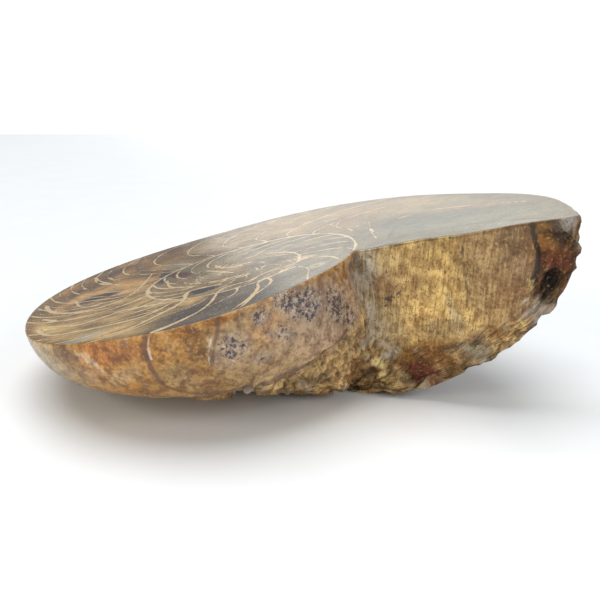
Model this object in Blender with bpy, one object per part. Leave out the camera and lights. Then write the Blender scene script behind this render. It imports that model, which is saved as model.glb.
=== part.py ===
"""Half of a sawn and polished ammonite: one stone, flat face up, lying on its rounded flank.

Lengths are in metres. The shell is worked out in its own face frame first: u to the right, v to the back
and w out of the polished face, with the middle of the coil at zero. Angles run clockwise seen from above,
the way the shell grew. At the end the stone is tilted to the pose it rests in and set down on z = 0.
"""

import math

import bpy
import numpy as np

# The coil: a logarithmic spiral.
START_RADIUS = 0.03586  # of the outer wall at angle 0
GROWTH = 0.1248  # growth of the natural log of the radius per radian
TURN_RATIO = math.exp(GROWTH * 2.0 * math.pi)
CUT_ANGLE = math.radians(20.5)  # the saw cut across the living chamber
# The outline strays a little from a true spiral, and the mouth flares: degrees, then share of the radius.
STRAY = (
    (20.5, 0.970),
    (52.0, 0.960),
    (95.0, 1.020),
    (128.0, 1.012),
    (170.0, 0.962),
    (220.0, 1.020),
    (262.0, 0.970),
    (292.0, 1.015),
    (335.0, 0.988),
    (368.0, 1.062),
    (380.5, 1.068),
)

# The half whorl section under the face, round the last whorl: degrees, depth, how far in from the wall the
# deepest point lies as a share of the whorl height, and roundness of the outer wall (2 is an ellipse).
SECTIONS = (
    (20.5, 0.0250, 0.60, 2.3),
    (90.0, 0.0190, 0.62, 2.2),
    (150.0, 0.0158, 0.60, 2.1),
    (195.0, 0.0170, 0.58, 2.0),
    (270.0, 0.0300, 0.66, 2.0),
    (330.0, 0.0330, 0.76, 1.9),
    (380.5, 0.0320, 0.86, 2.0),
)
INNER_DEPTH = 0.85  # depth of each whorl inside, as a share of the one round it
FLANK_FALL = 0.10  # how much shallower the flank is at its inner shoulder
SHOULDER = 0.34  # inner shoulder, as a share of the wall radius
SEAM = 0.25  # seam with the whorl inside, as a share of the wall radius
WHORLS = 4
HOLLOW_DEPTH = 0.013  # depth under the face at the bottom of the hollow in the middle of the flank

# Rock left on the lower flank, towards the saw cut.
ROCK_CENTRE = (0.021, -0.007)
ROCK_REACH = (0.036, 0.032)
ROCK_DEPTH = 0.0093
LUMP_DEPTH = 0.0014
LUMP_LENGTH = 0.017
RIM_BAND = 0.010  # depth under the face above which there is no rock

# The saw cut.
WAVE_DEPTH = 0.0008
WAVE_LENGTH = 0.023
WAVE_TURN = 160.0  # how the waves shift with depth, in radians per metre

# How the stone lies.
TILT = math.radians(13.70)  # left side down
GROUND_IN = 0.0020  # depth of the worn patch it rests on

# Mesh.
COLUMNS = 108
WALL_ROWS = 12
FLANK_ROWS = 5
HUB_ROWS = 9
HUB_RADIUS = 0.0252
CUT_COLUMNS = 10


def along(stations, angle):
    """Values at an angle from a table of stations, its first column in degrees, eased between them."""
    table = np.array(stations)
    place = np.clip(np.degrees(angle), table[0, 0], table[-1, 0])
    before = np.clip(np.searchsorted(table[:, 0], place, side="right") - 1, 0, len(table) - 2)
    step = (place - table[before, 0]) / (table[before + 1, 0] - table[before, 0])
    ease = (step * step * (3.0 - 2.0 * step))[..., None]
    return np.moveaxis(table[before, 1:] * (1.0 - ease) + table[before + 1, 1:] * ease, -1, 0)


def wall_radius(angle):
    """Radius of the outer wall at an angle, clockwise from the right, with the turns counted on."""
    return START_RADIUS * np.exp(GROWTH * angle) * along(STRAY, angle)[0]


def belly_radius(angle, wall):
    """Radius at which the whorl is deepest, from the angle and the radius of its outer wall there."""
    return wall * (1.0 - along(SECTIONS, angle)[1] * (1.0 - 1.0 / TURN_RATIO))


def whorl_depth(angle, radius):
    """Depth under the face of the whorl with its wall at this angle, turns counted on; nought outside it."""
    depth, _, power = along(SECTIONS, angle)
    depth = depth * INNER_DEPTH ** (np.maximum(CUT_ANGLE - angle, 0.0) / (2.0 * math.pi))
    wall = wall_radius(angle)
    belly = belly_radius(angle, wall)
    outward = np.clip((radius - belly) / (wall - belly), 0.0, 1.0)
    venter = (1.0 - outward**power) ** (1.0 / power)
    inward = np.clip((belly - radius) / (belly - SHOULDER * wall), 0.0, 1.0)
    flank = 1.0 - FLANK_FALL * inward**2
    step = np.clip((radius / wall - SEAM) / (SHOULDER - SEAM), 0.0, 1.0)
    return depth * venter * flank * step * step * (3.0 - 2.0 * step)


def coil_depth(angle, radius):
    """Depth of the whole coil: the deepest of the last whorl, the earlier ones and the core."""
    core = HOLLOW_DEPTH * np.clip(1.0 - (radius / HUB_RADIUS) ** 2, 0.0, 1.0)
    whorls = [whorl_depth(angle - 2.0 * math.pi * turn, radius) for turn in range(WHORLS)]
    return np.maximum.reduce([core, *whorls])


def rock_depth(u, v, depth):
    """Depth of the rock left on the flank: a broad swelling with lumps, none of it near the rim."""
    away = ((u - ROCK_CENTRE[0]) / ROCK_REACH[0]) ** 2 + ((v - ROCK_CENTRE[1]) / ROCK_REACH[1]) ** 2
    swell = np.exp(-1.5 * away)
    waves = 2.0 * math.pi / LUMP_LENGTH
    lumps = np.sin(waves * (0.9 * u + 0.5 * v)) * np.sin(waves * (0.8 * v - 0.4 * u) + 1.3)
    lumps += 0.6 * np.sin(1.7 * waves * (0.7 * u - 0.6 * v) + 0.4) * np.sin(1.5 * waves * (u + 0.3 * v))
    below_rim = np.clip(depth / RIM_BAND, 0.0, 1.0) ** 2
    return below_rim * swell * (ROCK_DEPTH + LUMP_DEPTH * lumps)


def flank_point(angle, radius):
    """Points (u, v, w) of the outside at these angles and radii."""
    u = radius * np.cos(angle)
    v = -radius * np.sin(angle)
    depth = coil_depth(angle, radius)
    return np.stack([u, v, -depth - rock_depth(u, v, depth)], axis=-1)


def stone_points():
    """Points of the outside in the face frame: open rows, rows round the hub, the cut, the hub's middle.

    The open rows run from the saw cut right round the shell to the saw cut again. The rows round the hub
    close on themselves, because the whorls inside the cut are whole.
    """
    angle = CUT_ANGLE + np.linspace(0.0, 2.0 * math.pi, COLUMNS)
    wall = wall_radius(angle)
    belly = belly_radius(angle, wall)
    down = np.cos(np.linspace(0.0, 0.5 * math.pi, WALL_ROWS))[:, None]
    venter = belly + (wall - belly) * down
    inward = np.linspace(0.0, 1.0, FLANK_ROWS + 1)[1:-1, None]
    flank = belly + (HUB_RADIUS - belly) * inward
    rows = np.concatenate([venter, flank])
    opened = flank_point(angle, rows)
    opened[0, :, 2] = 0.0
    hub_rows = HUB_RADIUS * np.linspace(1.0, 0.0, HUB_ROWS, endpoint=False)[:, None] + 0.0 * angle[:-1]
    hub = flank_point(angle[:-1], hub_rows)
    middle = np.array([[0.0, 0.0, hub[-1, :, 2].mean()]])
    share = np.linspace(0.0, 1.0, CUT_COLUMNS + 1)[1:-1, None]
    cut = opened[:, -1:, :] * (1.0 - share) + opened[:, :1, :] * share
    radius = np.hypot(cut[..., 0], cut[..., 1])
    wave = WAVE_DEPTH * np.sin(2.0 * math.pi * radius / WAVE_LENGTH + WAVE_TURN * cut[..., 2])
    cut[..., 0] += wave * math.sin(CUT_ANGLE)
    cut[..., 1] += wave * math.cos(CUT_ANGLE)
    return opened, hub, cut, middle


def stone_faces(rows, hub_rows):
    """Faces of the stone, as lists of point numbers, all facing out."""
    across = COLUMNS + CUT_COLUMNS - 1
    around = COLUMNS - 1
    hub_start = rows * across
    middle = hub_start + hub_rows * around
    faces = [list(range(across))[::-1]]
    for row in range(rows - 1):
        for column in range(across):
            near, far = row * across + column, row * across + (column + 1) % across
            faces.append([near, far, far + across, near + across])
    last = (rows - 1) * across
    for column in range(around):
        inner = hub_start + (column + 1) % around
        faces.append([last + column, last + column + 1, inner, hub_start + column])
    for column in range(around, across):
        faces.append([last + column, last + (column + 1) % across, hub_start])
    for row in range(hub_rows - 1):
        for column in range(around):
            start = hub_start + row * around
            near, far = start + column, start + (column + 1) % around
            faces.append([near, far, far + around, near + around])
    last = hub_start + (hub_rows - 1) * around
    for column in range(around):
        faces.append([last + column, last + (column + 1) % around, middle])
    return faces


def laid_down(points):
    """The points tilted to rest, worn flat where they touch the ground, centred in plan, bottom on z = 0."""
    turn = np.array(
        [
            [math.cos(TILT), 0.0, -math.sin(TILT)],
            [0.0, 1.0, 0.0],
            [math.sin(TILT), 0.0, math.cos(TILT)],
        ]
    )
    points = points @ turn.T
    ground = points[:, 2].min() + GROUND_IN
    points[:, 2] = np.maximum(points[:, 2], ground) - ground
    points[:, :2] -= 0.5 * (points[:, :2].min(axis=0) + points[:, :2].max(axis=0))
    return points


def stone_material():
    """Polished brown and grey stone."""
    material = bpy.data.materials.new("fossil_stone")
    material.use_nodes = True
    shader = material.node_tree.nodes["Principled BSDF"]
    shader.inputs["Base Color"].default_value = (0.36, 0.28, 0.17, 1.0)
    shader.inputs["Roughness"].default_value = 0.3
    return material


def main():
    for obj in list(bpy.data.objects):
        bpy.data.objects.remove(obj)
    opened, hub, cut, middle = stone_points()
    outer = np.concatenate([opened, cut], axis=1)
    points = laid_down(np.concatenate([outer.reshape(-1, 3), hub.reshape(-1, 3), middle]))
    mesh = bpy.data.meshes.new("ammonite_half")
    mesh.from_pydata(points.tolist(), [], stone_faces(len(outer), len(hub)))
    mesh.validate()
    mesh.materials.append(stone_material())
    bpy.context.scene.collection.objects.link(bpy.data.objects.new("ammonite_half", mesh))


main()
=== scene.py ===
"""The looks of half a sawn and polished ammonite, lying on its flank with the polished face up.

The stone is worked out in its own face frame: u to the right, v to the back and w out of the polished face,
with the middle of the coil at zero, in metres. Angles are in degrees and run clockwise seen from above, the
way the shell grew, with the turns counted on. At the end the stone is tilted into the row frame.
"""

import logging
import math
from dataclasses import dataclass, field, fields, replace
from enum import Enum, IntEnum

import bpy
import numpy as np
from mathutils import Matrix, Vector
from mathutils.geometry import delaunay_2d_cdt


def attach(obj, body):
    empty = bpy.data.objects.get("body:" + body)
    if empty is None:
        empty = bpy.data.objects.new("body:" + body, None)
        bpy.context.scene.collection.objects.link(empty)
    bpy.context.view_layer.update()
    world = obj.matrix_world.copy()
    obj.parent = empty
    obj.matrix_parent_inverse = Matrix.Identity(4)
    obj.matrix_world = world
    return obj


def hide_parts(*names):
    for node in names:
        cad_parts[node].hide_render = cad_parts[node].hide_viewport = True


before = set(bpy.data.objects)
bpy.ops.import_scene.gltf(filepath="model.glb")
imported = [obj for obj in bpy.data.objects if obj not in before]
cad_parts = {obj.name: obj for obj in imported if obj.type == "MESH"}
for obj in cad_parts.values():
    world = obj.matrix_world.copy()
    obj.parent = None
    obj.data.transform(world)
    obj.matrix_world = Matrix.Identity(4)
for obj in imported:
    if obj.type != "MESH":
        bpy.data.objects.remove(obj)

LOG = logging.getLogger("ammonite")
Array = np.ndarray
Colour = tuple[float, float, float]
Socket = bpy.types.NodeSocket

NODE = "ammonite_half"
BODY = "root"
MM = 0.001
TURN = 360.0


class Area(IntEnum):
    """The three kinds of surface on the stone, each with its own material slot."""

    FACE = 0
    OUTSIDE = 1
    SAW_CUT = 2


class Line(Enum):
    """What a line on the stone is made of."""

    CALCITE = "line"
    CRACK = "crack"


def rise(value: Array, low: float, high: float) -> Array:
    """Climbs smoothly from 0 to 1, level at both ends.

    Args:
        value: what is measured.
        low: where it is still 0; it may be the greater.
        high: where it has reached 1.

    Returns:
        Shares from 0 to 1.
    """
    step = np.clip((value - low) / (high - low), 0.0, 1.0)
    return step * step * (3.0 - 2.0 * step)


def along(stations: tuple, angle: Array) -> Array:
    """Values from a table of stations, eased from each station to the next.

    Args:
        stations: rows of (angle, value, ...).
        angle: the angles wanted.

    Returns:
        One array for each value column.
    """
    table = np.array(stations)
    place = np.clip(angle, table[0, 0], table[-1, 0])
    before = np.clip(np.searchsorted(table[:, 0], place, side="right") - 1, 0, len(table) - 2)
    step = (place - table[before, 0]) / (table[before + 1, 0] - table[before, 0])
    share = (step * step * (3.0 - 2.0 * step))[..., None]
    return np.moveaxis(table[before, 1:] * (1.0 - share) + table[before + 1, 1:] * share, -1, 0)


def linear(colour: Array) -> Array:
    """Linear colour from 0 to 255 screen values."""
    share = np.clip(np.asarray(colour, float) / 255.0, 0.0, 1.0)
    return np.where(share <= 0.04045, share / 12.92, ((share + 0.055) / 1.055) ** 2.4)


def chance(place: Array, seed: int) -> Array:
    """A chance value from -1 to 1 for each whole-number place.

    The three numbers and the seed are multiplied by large primes, mixed bit by bit and folded.

    Args:
        place: whole numbers, three to a place.
        seed: which set of chances.

    Returns:
        One value for each place.
    """
    x, y, z = (place[..., axis].astype(np.int64) for axis in range(3))
    mixed = (x * 73856093) ^ (y * 19349663) ^ (z * 83492791) ^ np.int64(seed * 26544357)
    mixed = ((mixed ^ (mixed >> 13)) * 1274126177) & 0xFFFFFFFF
    mixed = ((mixed ^ (mixed >> 15)) * 668265263) & 0xFFFFFFFF
    return ((mixed ^ (mixed >> 16)) & 0xFFFFFF) / 0x7FFFFF - 1.0


@dataclass(frozen=True)
class Grain:
    """Smooth noise: a chance value at each corner of a lattice, eased between the corners."""

    size: float
    seed: int
    octaves: int = 1

    def at(self, points: Array) -> Array:
        """The noise: each octave has half the size and half the height of the one before.

        Args:
            points: places in metres.

        Returns:
            Values from about -1 to 1.
        """
        total = np.zeros(points.shape[:-1])
        for octave in range(self.octaves):
            place = points * (2.0**octave / self.size) + 17.3 * octave
            low = np.floor(place)
            part = place - low
            part = part * part * (3.0 - 2.0 * part)
            for number in range(8):
                step = np.array([number & 1, number >> 1 & 1, number >> 2 & 1])
                weight = np.prod(np.where(step == 1, part, 1.0 - part), axis=-1)
                total += weight * chance(low + step, self.seed + 31 * octave) * 0.5**octave
        return total


@dataclass(frozen=True)
class Facets:
    """Broken stone: space split into chance cells, each with a height of its own."""

    size: float
    seed: int

    def at(self, points: Array) -> tuple[Array, Array]:
        """The cell that each point is in: the one with the nearest chance middle.

        Args:
            points: places in metres.

        Returns:
            The cell's chance height from -1 to 1, and how far from its edge the point is, in cell sizes.
        """
        place = points / self.size
        low = np.floor(place)
        near = np.full(points.shape[:-1], 9.0)
        second = near.copy()
        height = np.zeros(points.shape[:-1])
        for number in range(27):
            corner = low + np.array([number % 3 - 1, number // 3 % 3 - 1, number // 9 - 1])
            shift = np.stack([chance(corner, self.seed + axis) for axis in range(3)], axis=-1)
            away = np.linalg.norm(corner + 0.5 + 0.45 * shift - place, axis=-1)
            closer = away < near
            second = np.where(closer, near, np.minimum(second, away))
            height = np.where(closer, chance(corner, self.seed + 3), height)
            near = np.minimum(near, away)
        return height, second - near


@dataclass(frozen=True)
class Coil:
    """The shell's logarithmic spiral, and the half whorl section under the polished face."""

    start_radius: float = 0.03586
    growth: float = 0.1248  # per radian
    cut: float = 20.5
    # Angle, then share of the true spiral's radius.
    stray: tuple = (
        (20.5, 0.970),
        (52.0, 0.960),
        (95.0, 1.020),
        (128.0, 1.012),
        (170.0, 0.962),
        (220.0, 1.020),
        (262.0, 0.970),
        (292.0, 1.015),
        (335.0, 0.988),
        (368.0, 1.062),
        (380.5, 1.068),
    )
    # Angle, depth, how far in the deepest point lies as a share of the whorl height, roundness.
    sections: tuple = (
        (20.5, 0.0250, 0.60, 2.3),
        (90.0, 0.0190, 0.62, 2.2),
        (150.0, 0.0158, 0.60, 2.1),
        (195.0, 0.0170, 0.58, 2.0),
        (270.0, 0.0300, 0.66, 2.0),
        (330.0, 0.0330, 0.76, 1.9),
        (380.5, 0.0320, 0.86, 2.0),
    )
    inner_depth: float = 0.85
    flank_fall: float = 0.10
    shoulder: float = 0.34
    seam: float = 0.25
    whorls: int = 4
    hollow_depth: float = 0.013
    hub_radius: float = 0.0252

    def wall(self, angle: Array) -> Array:
        """Radius of the outer wall: it grows with the exponential of the angle, and strays a little."""
        return self.start_radius * np.exp(self.growth * np.radians(angle)) * along(self.stray, angle)[0]

    def belly(self, angle: Array, wall: Array) -> Array:
        """Radius at which the whorl is deepest."""
        turn_ratio = math.exp(self.growth * 2.0 * math.pi)
        return wall * (1.0 - along(self.sections, angle)[1] * (1.0 - 1.0 / turn_ratio))

    def whorl_depth(self, angle: Array, radius: Array) -> Array:
        """Depth under the face of one whorl: a rounded oval outside the belly, gently falling inside it.

        Args:
            angle: angle with the turns counted on, which says which whorl it is.
            radius: distance from the middle of the coil.

        Returns:
            The depth, nought outside the whorl.
        """
        depth, _, power = along(self.sections, angle)
        depth = depth * self.inner_depth ** (np.maximum(self.cut - angle, 0.0) / TURN)
        wall = self.wall(angle)
        belly = self.belly(angle, wall)
        outward = np.clip((radius - belly) / (wall - belly), 0.0, 1.0)
        venter = (1.0 - outward**power) ** (1.0 / power)
        inward = np.clip((belly - radius) / (belly - self.shoulder * wall), 0.0, 1.0)
        flank = 1.0 - self.flank_fall * inward**2
        return depth * venter * flank * rise(radius / wall, self.seam, self.shoulder)

    def depth(self, angle: Array, radius: Array) -> Array:
        """Depth of the whole coil: the deepest of the last whorl, the earlier ones and the core."""
        core = self.hollow_depth * np.clip(1.0 - (radius / self.hub_radius) ** 2, 0.0, 1.0)
        whorls = [self.whorl_depth(angle - TURN * turn, radius) for turn in range(self.whorls)]
        return np.maximum.reduce([core, *whorls])


@dataclass(frozen=True)
class Rock:
    """Rock left on the lower flank: a broad swelling with lumps, none of it near the rim."""

    centre: tuple = (0.021, -0.007)
    reach: tuple = (0.036, 0.032)
    thick: float = 0.0093
    lump: float = 0.0014
    lump_length: float = 0.017
    rim_band: float = 0.010

    def depth(self, u: Array, v: Array, depth: Array) -> Array:
        """Depth of the rock under the flank: a bell-shaped swelling, with crossed waves for the lumps.

        Args:
            u: place to the right.
            v: place to the back.
            depth: the flank's depth under the face there.

        Returns:
            How much deeper the rock is.
        """
        away = ((u - self.centre[0]) / self.reach[0]) ** 2 + ((v - self.centre[1]) / self.reach[1]) ** 2
        waves = 2.0 * math.pi / self.lump_length
        lumps = np.sin(waves * (0.9 * u + 0.5 * v)) * np.sin(waves * (0.8 * v - 0.4 * u) + 1.3)
        lumps += 0.6 * np.sin(1.7 * waves * (0.7 * u - 0.6 * v) + 0.4) * np.sin(1.5 * waves * (u + 0.3 * v))
        below_rim = np.clip(depth / self.rim_band, 0.0, 1.0) ** 2
        return below_rim * np.exp(-1.5 * away) * (self.thick + self.lump * lumps)


@dataclass(frozen=True)
class Lie:
    """How the stone lies in the row frame: left side down, the coil's middle here, the ground at nought."""

    tilt: float = math.radians(13.70)
    middle: tuple = (-0.0156562, -0.0101141, 0.0289855)

    def lay(self, points: Array) -> Array:
        """Takes points from the face frame to the row frame.

        Args:
            points: places in the face frame.

        Returns:
            Places in the row frame, none of them under the ground.
        """
        turn = np.array(Matrix.Rotation(-self.tilt, 3, "Y"))
        laid = points @ turn.T + np.array(self.middle)
        laid[:, 2] = np.maximum(laid[:, 2], 0.0)
        return laid


@dataclass(frozen=True)
class Patch:
    """A soft-edged oval of colour, with sizes in millimetres and its turn in degrees.

    On the face its place is (u, v), on the outside (angle, w) and on the saw cut (distance out, w).
    """

    x: float
    y: float
    long: float
    wide: float
    colour: Colour = (0.0, 0.0, 0.0)
    turn: float = 0.0
    soft: float = 0.35
    strength: float = 1.0

    def share(self, across: Array, up: Array, shape: Array) -> Array:
        """How much of the patch there is: 1 well inside the oval, 0 well outside it.

        Args:
            across: distance across from the patch's middle, in millimetres.
            up: distance up from it.
            shape: noise that makes the outline uneven.

        Returns:
            Shares from 0 to 1.
        """
        cosine, sine = math.cos(math.radians(self.turn)), math.sin(math.radians(self.turn))
        away = np.hypot((across * cosine + up * sine) / self.long, (up * cosine - across * sine) / self.wide)
        away = away + 0.28 * shape
        return self.strength * (1.0 - rise(away, 1.0 - self.soft, 1.0 + self.soft))


@dataclass(frozen=True)
class Stroke:
    """A line drawn through a few given points, with sizes in millimetres."""

    points: tuple
    half: float = 0.35
    kind: Line = Line.CALCITE

    def gap(self, x: Array, y: Array) -> Array:
        """Distance from the line's edge, less than nought inside it.

        The line is a Catmull-Rom curve, cut into short straight runs, and the nearest run counts.

        Args:
            x: places across.
            y: places up.

        Returns:
            Distances in millimetres.
        """
        ends = np.array([self.points[0], *self.points, self.points[-1]], float)
        step = np.linspace(0.0, 1.0, 7)[:-1, None]
        runs = []
        for before, start, end, after in zip(ends, ends[1:], ends[2:], ends[3:]):
            bend = 2.0 * before - 5.0 * start + 4.0 * end - after
            turn = 3.0 * start - before - 3.0 * end + after
            runs.append(start + 0.5 * step * ((end - before) + step * (bend + step * turn)))
        path = np.concatenate([*runs, ends[-1:]])
        nearest = np.full(np.shape(x), 1e3)
        for start, end in zip(path, path[1:]):
            run = end - start
            share = ((x - start[0]) * run[0] + (y - start[1]) * run[1]) / max(float(run @ run), 1e-9)
            share = np.clip(share, 0.0, 1.0)
            away = np.hypot(x - start[0] - share * run[0], y - start[1] - share * run[1])
            nearest = np.minimum(nearest, away)
        return nearest - self.half


@dataclass(frozen=True)
class Chambers:
    """The walls between the chambers on the polished face."""

    # Where each wall leaves the inner side of its whorl, in the last whorl and in the one inside it.
    last: tuple = (
        *(16, 37, 63, 86, 105, 118, 129, 139, 148, 157, 165, 174),
        *(185, 197, 210, 223, 237, 252, 268, 284, 300, 317),
    )
    earlier: tuple = (
        *(-343, -324, -306, -288, -270, -252, -234, -216, -199, -181),
        *(-164, -146, -128, -110, -92, -74, -56, -38, -20, -2),
    )
    earliest_step: float = 21.0
    last_lean: float = 17.0  # how far a wall runs forward on its way out
    inner_lean: float = 36.0
    last_sag: tuple = ((60.0, 3.0), (125.0, 8.5), (240.0, 9.0), (320.0, 7.0))
    inner_sag: float = 9.0
    inner_shift: tuple = (0.0050, -0.0033)  # the inner whorls lie a little off the middle
    shift_from: float = 0.026
    shift_to: float = 0.036
    centre: float = 0.0036  # within this the coil is too small to draw

    def starts(self) -> Array:
        """Every chamber wall's starting angle, smallest first."""
        earliest = np.arange(self.earlier[0] - self.earliest_step, -3.0 * TURN, -self.earliest_step)
        return np.concatenate([earliest[::-1], self.earlier, self.last])

    def place(self, coil: Coil, u: Array, v: Array) -> tuple[Array, Array, Array, Array]:
        """Where each point is in the coil.

        Args:
            coil: the shell's spiral.
            u: place to the right.
            v: place to the back.

        Returns:
            Angle with the turns counted on, radius, and radii of the whorl's inner and outer walls.
        """
        inside = 1.0 - rise(np.hypot(u, v), self.shift_from, self.shift_to)
        across, up = u - self.inner_shift[0] * inside, v - self.inner_shift[1] * inside
        radius = np.maximum(np.hypot(across, up), 0.4 * MM)
        angle = np.mod(np.degrees(np.arctan2(-up, across)) - coil.cut, TURN) + coil.cut
        for _ in range(coil.whorls):
            angle = np.where(radius < coil.wall(angle - TURN), angle - TURN, angle)
        return angle, radius, coil.wall(angle - TURN), coil.wall(angle)

    def phase(self, angle: Array, height: Array) -> Array:
        """The starting angle of the wall that would pass through each point: less the lean, and the sag.

        Args:
            angle: angle with the turns counted on.
            height: share of the way from the whorl's inner wall to its outer one.

        Returns:
            Angles in degrees.
        """
        old = 1.0 - rise(angle, -40.0, 30.0)
        lean = self.last_lean + (self.inner_lean - self.last_lean) * old
        sag = along(self.last_sag, angle)[0] * (1.0 - old) + self.inner_sag * old
        return angle - lean * height + sag * (1.0 - (2.0 * height - 1.0) ** 2)

    def steepness(self, angle: Array, height: Array, radius: Array, breadth: Array) -> Array:
        """How fast the phase changes across the chamber walls: its slope, by a small step outward.

        Args:
            angle: angle with the turns counted on.
            height: share of the way from the whorl's inner wall to its outer one.
            radius: distance from the middle of the coil.
            breadth: distance between the whorl's two walls.

        Returns:
            Slopes in degrees a metre.
        """
        step = 0.01
        outward = (self.phase(angle, height + step) - self.phase(angle, height)) / (step * breadth)
        return np.hypot(math.degrees(1.0) / radius, outward)

    def gap(self, place: tuple[Array, Array, Array, Array]) -> tuple[Array, Array, Array]:
        """How near each point is to a wall between chambers.

        Args:
            place: what place() gives.

        Returns:
            Distance in metres to the nearest wall, the chamber's number, and the share of the way across it.
        """
        angle, radius, inner, outer = place
        height = np.clip((radius - inner) / (outer - inner), 0.0, 1.0)
        phase = self.phase(angle, height)
        starts = self.starts()
        number = np.clip(np.searchsorted(starts, phase), 1, len(starts) - 1)
        before, after = starts[number - 1], starts[number]
        near = np.minimum(np.abs(phase - before), np.abs(after - phase))
        share = np.clip((phase - before) / (after - before), 0.0, 1.0)
        return near / self.steepness(angle, height, radius, outer - inner), number, share


@dataclass(frozen=True)
class Pattern:
    """What is worked out for each point of a surface before its material paints it."""

    tint: Array
    line: Array
    crack: Array
    rough: Array
    dark: Array
    pale: Array
    place: Array


def over(tint: Array, colour: Array | Colour, share: Array) -> Array:
    """A colour, in screen values, laid over a tint by its share."""
    return tint * (1.0 - share[..., None]) + np.asarray(colour, float) * share[..., None]


def nearest_line(strokes: tuple, kind: Line, x: Array, y: Array) -> Array:
    """Distance from the nearest stroke of a kind; far away if there is none.

    Args:
        strokes: the strokes to look through.
        kind: which of them count.
        x: places across, in millimetres.
        y: places up.

    Returns:
        Distances in millimetres.
    """
    gaps = [stroke.gap(x, y) for stroke in strokes if stroke.kind is kind]
    return np.minimum.reduce([np.full(np.shape(x), 9.0), *gaps])


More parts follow.
